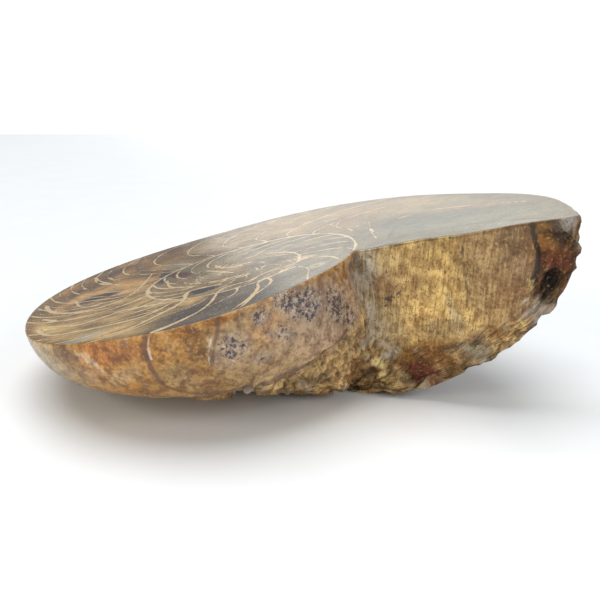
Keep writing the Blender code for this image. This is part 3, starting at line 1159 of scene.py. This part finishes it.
@dataclass(frozen=True)
class PolishedFace:
    """The sawn face, ground and polished: fine mineral grain, pale chamber walls, a hard gloss."""

    roughness: float = 0.13
    grain_scale: float = 1500.0
    mottle_scale: float = 320.0

    def make(self) -> bpy.types.Material:
        """Builds the material: tint, mottling and grain, then pale lines with brown edges, then cracks.

        Returns:
            The material.
        """
        w = Wiring("polished_face")
        place = w.object_place()
        mottle = w.noise(place, self.mottle_scale, 5.0, 0.6)
        grain = w.noise(place, self.grain_scale, 3.0, 0.65)
        veil = w.mix(mottle, shade(150, 140, 128), shade(255, 255, 255))
        colour = w.mix(0.8, w.read("tint", "Color"), veil, "MULTIPLY")
        colour = w.lay(colour, grain, 0.56, 0.72, 0.35, shade(226, 206, 170))
        colour = w.lay(colour, grain, 0.44, 0.30, 0.45, shade(74, 58, 44))
        colour = w.mix(w.scaled(w.read("pale"), 0.3), colour, shade(224, 204, 168))
        line = w.ragged(Line.CALCITE, place)
        colour = w.lay(colour, line, 0.46, 0.05, 0.5, shade(88, 62, 40))
        pale = w.mix(w.noise(place, 500.0, 3.0), shade(206, 168, 116), shade(250, 226, 182))
        colour = w.lay(colour, line, 0.14, -0.14, 0.84, pale)
        colour = w.lay(colour, w.ragged(Line.CRACK, place), 0.45, -0.25, 0.8, shade(82, 76, 70))
        rough = w.maths("ADD", w.step(w.noise(place, 260.0, 3.0), 0.3, 0.8, 0.0, 0.10), self.roughness)
        height = w.maths("ADD", w.scaled(grain, 0.4), w.noise(place, 160.0, 2.0))
        bump = w.bump(height, 0.00002, 0.6)
        return w.finish(Base_Color=colour, Roughness=rough, Normal=bump, IOR=1.55)


@dataclass(frozen=True)
class ShellOutside:
    """The natural outside: waxy polished shell under the rim, dull broken rock below."""

    polished: float = 0.24
    dull: float = 0.78

    def make(self) -> bpy.types.Material:
        """Builds the material: tint, fine spots, feathery black growths, lines, and grit on the rock.

        Returns:
            The material.
        """
        w = Wiring("shell_outside")
        place = w.object_place()
        rock = w.read("rough")
        mottle = w.noise(place, 420.0, 6.0, 0.62)
        grain = w.noise(place, 1400.0, 4.0, 0.6)
        veil = w.mix(w.step(mottle, 0.36, 0.62), shade(150, 124, 96), shade(255, 255, 255))
        colour = w.mix(0.8, w.read("tint", "Color"), veil, "MULTIPLY")
        colour = w.lay(colour, grain, 0.52, 0.68, 0.32, shade(226, 192, 134))
        colour = w.lay(colour, grain, 0.48, 0.34, 0.60, shade(104, 68, 32))
        colour = w.mix(w.scaled(w.read("pale"), 0.28), colour, shade(226, 214, 194))
        dark = w.read("dark")
        colour = w.mix(w.scaled(dark, 0.45), colour, shade(160, 144, 134))
        growth = w.maths("ADD", w.noise(place, 860.0, 5.0, 0.75), w.scaled(dark, 0.23))
        colour = w.lay(colour, growth, 0.69, 0.75, 0.9, shade(50, 36, 44))
        frost = w.maths("ADD", w.noise(place, 900.0, 3.0, 0.7), w.scaled(dark, 0.20))
        colour = w.lay(colour, frost, 0.72, 0.80, 0.4, shade(214, 202, 188))
        colour = w.lay(colour, w.ragged(Line.CRACK, place), 0.5, -0.1, 0.72, shade(92, 62, 50))
        # Pale calcite lines; on the outside one of them is a thin painted highlight beside a crack.
        colour = w.lay(colour, w.ragged(Line.CALCITE, place), 0.25, -0.10, 0.6, shade(232, 216, 190))
        smooth = w.step(w.noise(place, 300.0, 3.0), 0.35, 0.75, self.polished, self.polished + 0.16)
        ends = {"Value": rock, "To Min": smooth, "To Max": self.dull}
        rough = w.node("ShaderNodeMapRange", ends).outputs[0]
        fine = w.bump(w.maths("ADD", mottle, grain), 0.00003, 0.5)
        gritty = w.maths("MULTIPLY", rock, w.noise(place, 750.0, 6.0, 0.7))
        bump = w.bump(gritty, 0.0007, 0.9, fine)
        return w.finish(Base_Color=colour, Roughness=rough, Normal=bump, IOR=1.5)


@dataclass(frozen=True)
class SawnStone:
    """The wall left by the saw: dull gold-brown stone with upright saw marks and dark specks."""

    dull: float = 0.62

    def make(self) -> bpy.types.Material:
        """Builds the material: tint, saw marks stretched upright, dark specks, growths, lines and grit.

        Returns:
            The material.
        """
        w = Wiring("sawn_stone")
        place = w.object_place()
        sawn = w.read("place", "Vector")
        broken = w.step(w.read("rough"), 0.5, 0.9)
        whole = w.maths("SUBTRACT", 1.0, broken)
        marks = w.noise(w.stretched(sawn, (1.7, 0.13, 1.0)), 1.0, 3.0, 0.6)
        specks = w.noise(w.stretched(sawn, (2.6, 0.9, 1.0)), 1.0, 4.0, 0.65)
        mottle = w.noise(place, 380.0, 6.0, 0.62)
        grain = w.noise(place, 1300.0, 4.0, 0.65)
        veil = w.mix(w.step(mottle, 0.36, 0.62), shade(160, 138, 108), shade(255, 255, 255))
        colour = w.mix(0.8, w.read("tint", "Color"), veil, "MULTIPLY")
        shown = w.maths("MULTIPLY", w.step(marks, 0.54, 0.36, 0.0, 0.5), whole)
        colour = w.mix(shown, colour, shade(112, 80, 40))
        light = w.maths("MULTIPLY", w.step(marks, 0.50, 0.68, 0.0, 0.30), whole)
        colour = w.mix(light, colour, shade(222, 190, 126))
        colour = w.lay(colour, grain, 0.54, 0.68, 0.4, shade(222, 186, 120))
        colour = w.lay(colour, grain, 0.46, 0.34, 0.6, shade(74, 48, 24))
        colour = w.lay(colour, specks, 0.44, 0.34, 0.8, shade(70, 46, 22))
        colour = w.mix(w.scaled(w.read("pale"), 0.38), colour, shade(220, 212, 196))
        growth = w.maths("ADD", w.noise(place, 800.0, 4.0, 0.72), w.scaled(w.read("dark"), 0.26))
        colour = w.lay(colour, growth, 0.72, 0.80, 0.85, shade(52, 42, 48))
        colour = w.lay(colour, w.ragged(Line.CRACK, place), 0.35, -0.15, 0.85, shade(40, 28, 22))
        colour = w.lay(colour, w.ragged(Line.CALCITE, place), 0.25, -0.10, 0.7, shade(216, 202, 176))
        rough = w.step(grain, 0.3, 0.7, self.dull - 0.12, self.dull + 0.12)
        fine = w.bump(w.maths("ADD", w.scaled(marks, 0.8), grain), 0.0001, 0.7)
        gritty = w.maths("MULTIPLY", broken, w.noise(place, 700.0, 6.0, 0.7))
        bump = w.bump(gritty, 0.0008, 0.9, fine)
        return w.finish(Base_Color=colour, Roughness=rough, Normal=bump, IOR=1.5)


@dataclass
class Stone:
    """The stone: an outline, a fine flat lattice for the face, and a grid for the outside and the saw cut."""

    coil: Coil = field(default_factory=Coil)
    rock: Rock = field(default_factory=Rock)
    lie: Lie = field(default_factory=Lie)
    chambers: Chambers = field(default_factory=Chambers)
    columns: int = 520
    cut_columns: int = 96
    bevel: float = 0.35 * MM
    bevel_rows: int = 3
    wall_rows: int = 46
    flank_rows: int = 12
    hub_rows: int = 14
    spacing: float = 0.53 * MM
    front: float = 70.0  # the columns crowd round this angle
    front_reach: float = 48.0
    front_crowd: float = 0.9
    wave_depth: float = 0.0008
    wave_length: float = 0.023
    wave_turn: float = 160.0
    wave_fade: float = 0.04

    def __post_init__(self) -> None:
        """Readies the drawings of the three areas."""
        self.face_drawing = FaceDrawing(self.coil, self.chambers)
        self.outside_drawing = OutsideDrawing(self.coil)
        self.saw_drawing = SawCutDrawing()

    @property
    def across(self) -> int:
        """Columns all the way round, the saw cut's among them."""
        return self.columns + self.cut_columns

    def column_angles(self) -> Array:
        """Angles of the columns, from the cut right round to the cut.

        They crowd round the front by a bell-shaped weight, summed along the turn and shared out evenly.

        Returns:
            Angles in degrees, one more than there are columns.
        """
        even = np.linspace(0.0, 1.0, 4001)
        away = (even * TURN + self.coil.cut - self.front) / self.front_reach
        crowd = 1.0 + self.front_crowd * np.exp(-(away**2))
        total = np.concatenate([[0.0], np.cumsum(0.5 * (crowd[1:] + crowd[:-1]))])
        share = np.interp(np.linspace(0.0, 1.0, self.columns + 1), total / total[-1], even)
        return self.coil.cut + TURN * share

    def flank_point(self, angle: Array, radius: Array) -> Array:
        """Points of the outside: as deep as the coil and the rock together.

        Args:
            angle: their angles.
            radius: their distances from the middle of the coil.

        Returns:
            Places in the face frame.
        """
        u = radius * np.cos(np.radians(angle))
        v = -radius * np.sin(np.radians(angle))
        depth = self.coil.depth(angle, radius)
        return np.stack([u, v, -depth - self.rock.depth(u, v, depth)], axis=-1)

    def wave(self, share: Array, radius: Array, down: Array) -> Array:
        """How far the saw wandered: a sine along the cut that shifts with depth and dies at both ends.

        Args:
            share: share of the way along the cut.
            radius: distance from the middle of the coil.
            down: depth, less than nought under the face.

        Returns:
            Distances in metres.
        """
        wave = self.wave_depth * np.sin(2.0 * math.pi * radius / self.wave_length + self.wave_turn * down)
        return wave * rise(share, 0.0, self.wave_fade) * rise(1.0 - share, 0.0, self.wave_fade)

    def across_cut(self, wall: Array) -> Array:
        """Adds the saw cut's columns: straight from the big end to the small end, plus the wave.

        Args:
            wall: rows of points of the outside, from the cut right round to the cut.

        Returns:
            The same rows with the cut's points after them.
        """
        share = np.linspace(0.0, 1.0, self.cut_columns + 1)[1:-1, None]
        cut = wall[:, -1:, :] * (1.0 - share) + wall[:, :1, :] * share
        wave = self.wave(share[:, 0], np.hypot(cut[..., 0], cut[..., 1]), cut[..., 2])
        cut[..., 0] += wave * math.sin(math.radians(self.coil.cut))
        cut[..., 1] += wave * math.cos(math.radians(self.coil.cut))
        return np.concatenate([wall, cut], axis=1)

    def rim_rows(self, below: Array) -> Array:
        """Rows of the small quarter-round between the face and the wall.

        The outline is moved in by the bevel, then out and down along a quarter circle.

        Args:
            below: the first row of the wall, at the bottom of the quarter-round.

        Returns:
            The rows, from the face down.
        """
        run = np.roll(below, -1, axis=0)[:, :2] - np.roll(below, 1, axis=0)[:, :2]
        out = np.stack([-run[:, 1], run[:, 0]], axis=-1) / np.linalg.norm(run, axis=1)[:, None]
        turn = np.radians(np.linspace(0.0, 90.0, self.bevel_rows + 1)[:-1])[:, None]
        inset = self.bevel * (1.0 - np.sin(turn))
        u = below[:, 0] - inset * out[:, 0]
        v = below[:, 1] - inset * out[:, 1]
        w = -self.bevel * (1.0 - np.cos(turn)) + 0.0 * u
        return np.stack([u, v, w], axis=-1)

    def grid(self) -> Array:
        """Rows of points round the stone, from the face down to the hub.

        The wall's rows are even steps of turn round its section, and the flank's are even steps inward.

        Returns:
            Places in the face frame, by row and column.
        """
        angle = self.column_angles()
        wall = self.coil.wall(angle)
        belly = self.coil.belly(angle, wall)
        depth, _, power = along(self.coil.sections, angle)
        start = np.arccos((1.0 - (self.bevel / depth) ** power) ** (1.0 / power))
        turn = start + (0.5 * math.pi - start) * np.linspace(0.0, 1.0, self.wall_rows)[:, None]
        venter = belly + (wall - belly) * np.cos(turn)
        inward = np.linspace(0.0, 1.0, self.flank_rows + 1)[1:-1, None]
        flank = belly + (self.coil.hub_radius - belly) * inward
        rows = self.across_cut(self.flank_point(angle, np.concatenate([venter, flank])))
        return np.concatenate([self.rim_rows(rows[0]), rows])

    def hub(self) -> Array:
        """Closed rings of points round the hub."""
        angle = self.column_angles()[:-1]
        shrink = np.linspace(1.0, 0.0, self.hub_rows, endpoint=False)[:, None]
        return self.flank_point(angle, self.coil.hub_radius * shrink + 0.0 * angle)

    def outward(self, grid: Array) -> Array:
        """Normals of the grid: the cross product of the steps round it and down it.

        Args:
            grid: places by row and column.

        Returns:
            Unit vectors.
        """
        round_it = np.roll(grid, -1, axis=1) - np.roll(grid, 1, axis=1)
        normal = np.cross(round_it, np.gradient(grid, axis=0))
        return normal / np.maximum(np.linalg.norm(normal, axis=-1, keepdims=True), 1e-12)

    def angle_of(self, grid: Array) -> Array:
        """Angle of each point of the grid; the saw cut's columns are at the far end of the turn.

        Args:
            grid: places by row and column.

        Returns:
            Angles in degrees.
        """
        angle = np.full(self.across, self.coil.cut + TURN)
        angle[: self.columns + 1] = self.column_angles()
        return np.broadcast_to(angle, grid.shape[:2])

    def carve(self, grid: Array) -> Array:
        """Adds the relief to the grid, along its normals; the face's own edge only moves in its plane.

        Args:
            grid: places by row and column.

        Returns:
            The same places with the relief.
        """
        flat = grid.reshape(-1, 3)
        cut = np.broadcast_to(np.arange(self.across) >= self.columns, grid.shape[:2])
        out = np.hypot(flat[:, 0], flat[:, 1]) / MM
        sawn = self.saw_drawing.relief(out, flat).reshape(grid.shape[:2])
        natural = self.outside_drawing.relief(flat, self.angle_of(grid).reshape(-1)).reshape(grid.shape[:2])
        column = np.arange(self.across)
        small_end = rise(np.minimum(column, self.across - column), 0.0, 5.0)
        height = np.where(cut, sawn, natural) * (0.10 + 0.90 * rise(-grid[..., 2], 0.0, 2.5 * MM))
        normal = self.outward(grid)
        normal[0, :, 2] = 0.0
        return grid + normal * (height * (0.3 + 0.7 * small_end))[..., None]

    def face_lattice(self, edge: Array) -> tuple[Array, Array]:
        """The face as even small triangles inside its edge.

        Points on a triangular lattice are kept where they are inside the spiral and clear of the saw cut,
        and joined to the edge by a Delaunay triangulation.

        Args:
            edge: the face's edge, in order.

        Returns:
            The added points and the triangles, numbered with the edge's points first.
        """
        across = np.arange(-0.065, 0.092, self.spacing)
        up = np.arange(-0.055, 0.072, self.spacing * math.sqrt(0.75))
        u = (across[None, :] + 0.5 * self.spacing * (np.arange(len(up)) % 2)[:, None]).reshape(-1)
        v = np.repeat(up, len(across))
        radius = np.hypot(u, v)
        angle = np.mod(np.degrees(np.arctan2(-v, u)) - self.coil.cut, TURN) + self.coil.cut
        cut = math.radians(self.coil.cut)
        ray = u * math.cos(cut) - v * math.sin(cut)
        small, big = self.coil.wall(np.array([self.coil.cut, self.coil.cut + TURN]))
        wave = self.wave((big - radius) / (big - small), radius, 0.0 * u)
        past = -u * math.sin(cut) - v * math.cos(cut) + wave
        margin = self.bevel + 0.6 * self.spacing
        kept = (radius < self.coil.wall(angle) - margin) & ~((ray > small - margin) & (past > -margin))
        inner = np.stack([u[kept], v[kept]], axis=-1)
        every = np.concatenate([edge[:, :2], inner]) / MM
        loop = [(number, (number + 1) % len(edge)) for number in range(len(edge))]
        made = delaunay_2d_cdt([Vector(point) for point in every.tolist()], loop, [], 1, 1e-5)
        source = np.array([origin[0] if origin else -1 for origin in made[3]])
        triangles = source[np.array(made[2])]
        LOG.info("face: %d triangles, %d new points", len(triangles), int((source < 0).sum()))
        corner = every[triangles]
        one, two = corner[:, 1] - corner[:, 0], corner[:, 2] - corner[:, 0]
        turned = one[:, 0] * two[:, 1] - one[:, 1] * two[:, 0] < 0.0
        triangles[turned] = triangles[turned][:, ::-1]
        return np.concatenate([inner, np.zeros((len(inner), 1))], axis=1), triangles

    def grid_triangles(self, rows: int) -> tuple[Array, Array]:
        """Triangles of the grid and the hub, all facing out.

        Args:
            rows: rows in the grid.

        Returns:
            The triangles, and the area of each.
        """
        across, around = self.across, self.columns
        row = np.repeat(np.arange(rows - 1), across)
        column = np.tile(np.arange(across), rows - 1)
        near, far = row * across + column, row * across + (column + 1) % across
        area = np.where(column >= around, Area.SAW_CUT, Area.OUTSIDE)
        parts = [(near, far, far + across), (near, far + across, near + across)]
        areas = [area, area]
        last, hub = (rows - 1) * across, rows * across
        column = np.arange(around)
        inner, inner_next = hub + column, hub + (column + 1) % around
        parts += [(last + column, last + column + 1, inner_next), (last + column, inner_next, inner)]
        areas += [np.full(around, Area.OUTSIDE)] * 2
        sawn = np.arange(around, across)
        parts.append((last + sawn, last + (sawn + 1) % across, np.full(len(sawn), hub)))
        areas.append(np.full(len(sawn), Area.SAW_CUT))
        for ring in range(self.hub_rows - 1):
            start = hub + ring * around
            near, far = start + column, start + (column + 1) % around
            parts += [(near, far, far + around), (near, far + around, near + around)]
            areas += [np.full(around, Area.OUTSIDE)] * 2
        ring = hub + (self.hub_rows - 1) * around
        middle = hub + self.hub_rows * around
        parts.append((ring + column, ring + (column + 1) % around, np.full(around, middle)))
        areas.append(np.full(around, Area.OUTSIDE))
        return np.concatenate([np.stack(part, axis=-1) for part in parts]), np.concatenate(areas)

    def patterns(self, points: Array, angle: Array, area: Array) -> Pattern:
        """The three drawings put together, point by point.

        Args:
            points: every point, in the face frame, without the relief.
            angle: their angles.
            area: their areas.

        Returns:
            One pattern for all the points.
        """
        out = np.hypot(points[:, 0], points[:, 1]) / MM
        face, outside, sawn = (area == kind for kind in Area)
        drawn = (
            (face, self.face_drawing.draw(points[face])),
            (outside, self.outside_drawing.draw(points[outside], angle[outside])),
            (sawn, self.saw_drawing.draw(out[sawn], points[sawn])),
        )
        merged = {}
        for name in (entry.name for entry in fields(Pattern)):
            values = np.zeros((len(points), *getattr(drawn[0][1], name).shape[1:]))
            for kind, pattern in drawn:
                values[kind] = getattr(pattern, name)
            merged[name] = values
        return Pattern(**merged)

    def build(self) -> bpy.types.Object:
        """Makes the stone's mesh, keeps the patterns on its points and dresses it.

        Returns:
            The finished piece.
        """
        grid, hub = self.grid(), self.hub()
        carved = self.carve(grid)
        inner, face_triangles = self.face_lattice(carved[0])
        middle = np.array([[0.0, 0.0, hub[-1, :, 2].mean()]])
        rest = [hub.reshape(-1, 3), middle, inner]
        plain = np.concatenate([grid.reshape(-1, 3), *rest])
        shaped = np.concatenate([carved.reshape(-1, 3), *rest])
        outer_triangles, outer_area = self.grid_triangles(len(grid))
        in_grid = grid.shape[0] * grid.shape[1]
        before_inner = len(plain) - len(inner)
        moved = face_triangles + (before_inner - self.across) * (face_triangles >= self.across)
        triangles = np.concatenate([moved, outer_triangles])
        area = np.concatenate([np.full(len(moved), Area.FACE), outer_area])
        angle = np.full(len(plain), self.coil.cut)
        angle[:in_grid] = self.angle_of(grid).reshape(-1)
        angle[in_grid : before_inner - 1] = np.tile(self.column_angles()[:-1], self.hub_rows)
        kind = np.full(len(plain), Area.OUTSIDE)
        kind[:in_grid][np.arange(in_grid) % self.across >= self.columns] = Area.SAW_CUT
        kind[: self.across] = Area.FACE
        kind[before_inner:] = Area.FACE
        mesh = self.mesh_of(self.lie.lay(shaped), triangles, area)
        self.keep(mesh, self.patterns(plain, angle, kind))
        self.lay_map(mesh, plain, triangles, area)
        for finish in (PolishedFace(), ShellOutside(), SawnStone()):
            mesh.materials.append(finish.make())
        piece = bpy.data.objects.new("ammonite_stone", mesh)
        bpy.context.scene.collection.objects.link(piece)
        LOG.info("%s: %d triangles", piece.name, len(triangles))
        return piece

    def mesh_of(self, points: Array, triangles: Array, area: Array) -> bpy.types.Mesh:
        """A smooth-shaded mesh from arrays.

        Args:
            points: its points, in the row frame.
            triangles: their numbers, three to a triangle.
            area: each triangle's area.

        Returns:
            The mesh.
        """
        mesh = bpy.data.meshes.new("ammonite_stone")
        mesh.vertices.add(len(points))
        mesh.vertices.foreach_set("co", points.astype(np.float32).reshape(-1))
        mesh.loops.add(triangles.size)
        mesh.loops.foreach_set("vertex_index", triangles.astype(np.int32).reshape(-1))
        mesh.polygons.add(len(triangles))
        mesh.polygons.foreach_set("loop_start", np.arange(0, triangles.size, 3, dtype=np.int32))
        mesh.polygons.foreach_set("material_index", area.astype(np.int32))
        mesh.update(calc_edges=True)
        mesh.shade_smooth()
        return mesh

    def keep(self, mesh: bpy.types.Mesh, pattern: Pattern) -> None:
        """Keeps the pattern's values at the mesh's points, for the materials to read.

        Args:
            mesh: the mesh.
            pattern: one value of each kind for each of its points.
        """
        tint = mesh.attributes.new("tint", "FLOAT_COLOR", "POINT")
        opaque = np.column_stack([pattern.tint, np.ones(len(pattern.tint))])
        tint.data.foreach_set("color", opaque.astype(np.float32).reshape(-1))
        place = mesh.attributes.new("place", "FLOAT_VECTOR", "POINT")
        place.data.foreach_set("vector", pattern.place.astype(np.float32).reshape(-1))
        for name in ("line", "crack", "rough", "dark", "pale"):
            made = mesh.attributes.new(name, "FLOAT", "POINT")
            made.data.foreach_set("value", getattr(pattern, name).astype(np.float32))

    def lay_map(self, mesh: bpy.types.Mesh, points: Array, triangles: Array, area: Array) -> None:
        """Lays the surfaces out flat, side by side.

        The face and the underside are seen from above, the wall under the rim is rolled out in two strips
        by its column and row, and the saw cut stands by its distance out and depth.

        Args:
            mesh: the mesh.
            points: its points without the relief, in the face frame.
            triangles: the triangles.
            area: their areas.
        """
        u, v, w = np.moveaxis(points[triangles] / MM, -1, 0)
        flat = np.stack([0.01 + (u + 57.0) * 0.00555, 0.01 + (v + 47.0) * 0.00555], axis=-1)
        upright = np.stack([0.82 - w * 0.0045, 0.33 + (np.hypot(u, v) - 25.0) * 0.0046], axis=-1)
        under = np.stack([0.82 + (u + 57.0) * 0.00118, 0.02 + (v + 47.0) * 0.0026], axis=-1)
        row, column = triangles // self.across, triangles % self.across
        wall_end = self.bevel_rows + self.wall_rows - 1
        half = self.columns // 2
        late = column.max(axis=1, keepdims=True) > half
        rolled_x = 0.01 + 0.97 * (column - half * late) / half
        rolled = np.stack([rolled_x, 0.99 - 0.18 * late - 0.165 * row / wall_end], axis=-1)
        low = (row.max(axis=1) > wall_end)[:, None, None]
        place = np.where(low, under, rolled)
        place = np.where((area == Area.SAW_CUT)[:, None, None], upright, place)
        place = np.where((area == Area.FACE)[:, None, None], flat, place)
        layer = mesh.uv_layers.new(name="OFBake")
        layer.uv.foreach_set("vector", place.astype(np.float32).reshape(-1))


@dataclass
class Studio:
    """A white table in soft light, and the camera."""

    floor_half: float = 1.0
    camera_place: tuple = (0.0048325, -0.2087441, 0.0757789)
    camera_down: float = 15.2835
    lens: float = 48.0
    seen_white: tuple = (1.05, 1.05, 1.05)
    room_grey: tuple = (0.20, 0.23, 0.26)
    # Name, place, width, height, turn about its own axis, power and colour of each light.
    lights: tuple = (
        ("warm_left", (-0.7, -0.6, 0.40), 0.5, 0.5, 0.0, 3.8, (1.0, 0.94, 0.82)),
        ("cool_right", (0.7, -0.6, 0.40), 0.5, 0.5, 0.0, 3.2, (0.92, 0.97, 1.0)),
        ("white_card", (0.298, 1.05, 0.232), 0.95, 0.90, 28.0, 2.6, (1.0, 0.96, 0.88)),
    )
    sky_from: tuple = (-0.16, 0.16, 1.0)
    sky_spread: float = math.radians(56.0)
    sky_power: float = 2.2
    sky_colour: tuple = (0.97, 0.99, 1.0)

    def floor(self) -> bpy.types.Object:
        """A flat square of pale table, four faces on a grid of nine points.

        Returns:
            The table.
        """
        side = np.linspace(-self.floor_half, self.floor_half, 3)
        x, y = np.meshgrid(side, side)
        points = np.stack([x, y, 0.0 * x], axis=-1).reshape(-1, 3)
        faces = [[corner, corner + 1, corner + 4, corner + 3] for corner in (0, 1, 3, 4)]
        mesh = bpy.data.meshes.new("table_top")
        mesh.from_pydata(points.tolist(), [], faces)
        w = Wiring("table_top")
        colour = w.mix(w.noise(w.object_place(), 40.0, 3.0), shade(244, 244, 244), shade(250, 250, 250))
        mesh.materials.append(w.finish(Base_Color=colour, Roughness=0.6))
        top = bpy.data.objects.new("table_top", mesh)
        bpy.context.scene.collection.objects.link(top)
        return top

    def light(
        self,
        name: str,
        place: tuple,
        width: float,
        height: float,
        roll: float,
        power: float,
        colour: Colour,
    ) -> None:
        """A soft rectangular light that faces the stone.

        Args:
            name: its name.
            place: where it is.
            width: its width.
            height: its height.
            roll: how far it is turned about its own axis, in degrees.
            power: in watts.
            colour: its linear colour.
        """
        data = bpy.data.lights.new(name, "AREA")
        data.shape = "RECTANGLE"
        data.size = width
        data.size_y = height
        data.energy = power
        data.color = colour
        made = bpy.data.objects.new(name, data)
        made.location = place
        facing = (-Vector(place)).to_track_quat("-Z", "Y").to_matrix()
        made.rotation_euler = (facing @ Matrix.Rotation(math.radians(roll), 3, "Z")).to_euler()
        made.visible_camera = False
        bpy.context.scene.collection.objects.link(made)

    def skylight(self) -> None:
        """A broad even light from above that reaches all of the table."""
        data = bpy.data.lights.new("skylight", "SUN")
        data.energy = self.sky_power
        data.angle = self.sky_spread
        data.color = self.sky_colour
        made = bpy.data.objects.new("skylight", data)
        made.location = self.sky_from
        made.rotation_euler = (-Vector(self.sky_from)).to_track_quat("-Z", "Y").to_euler()
        bpy.context.scene.collection.objects.link(made)

    def world(self) -> None:
        """White to the camera, a dimmer grey to everything else."""
        world = bpy.data.worlds.new("room")
        world.use_nodes = True
        tree = world.node_tree
        tree.nodes.clear()
        rays = tree.nodes.new("ShaderNodeLightPath")
        mix = tree.nodes.new("ShaderNodeMixShader")
        end = tree.nodes.new("ShaderNodeOutputWorld")
        for number, colour in ((1, self.room_grey), (2, self.seen_white)):
            shader = tree.nodes.new("ShaderNodeBackground")
            shader.inputs[0].default_value = (*colour, 1.0)
            tree.links.new(shader.outputs[0], mix.inputs[number])
        tree.links.new(rays.outputs["Is Camera Ray"], mix.inputs[0])
        tree.links.new(mix.outputs[0], end.inputs[0])
        bpy.context.scene.world = world

    def camera(self) -> None:
        """The camera, level, looking along +Y and a little down."""
        data = bpy.data.cameras.new("camera")
        data.lens = self.lens
        data.sensor_width = 36.0
        made = bpy.data.objects.new("camera", data)
        made.location = self.camera_place
        made.rotation_euler = (math.radians(90.0 - self.camera_down), 0.0, 0.0)
        bpy.context.scene.collection.objects.link(made)
        bpy.context.scene.camera = made

    def build(self) -> None:
        """Sets up the camera, the table and the light."""
        self.camera()
        self.floor()
        self.world()
        self.skylight()
        for light in self.lights:
            self.light(*light)
        bpy.context.scene.view_settings.view_transform = "Standard"
        LOG.info("studio ready")


def main() -> None:
    """Builds the studio and the stone, and notes the sizes."""
    logging.basicConfig(level=logging.INFO, format="%(name)s: %(message)s")
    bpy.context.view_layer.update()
    Studio().build()
    piece = Stone().build()
    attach(piece, BODY)
    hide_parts(NODE)


if __name__ == "__main__":
    main()
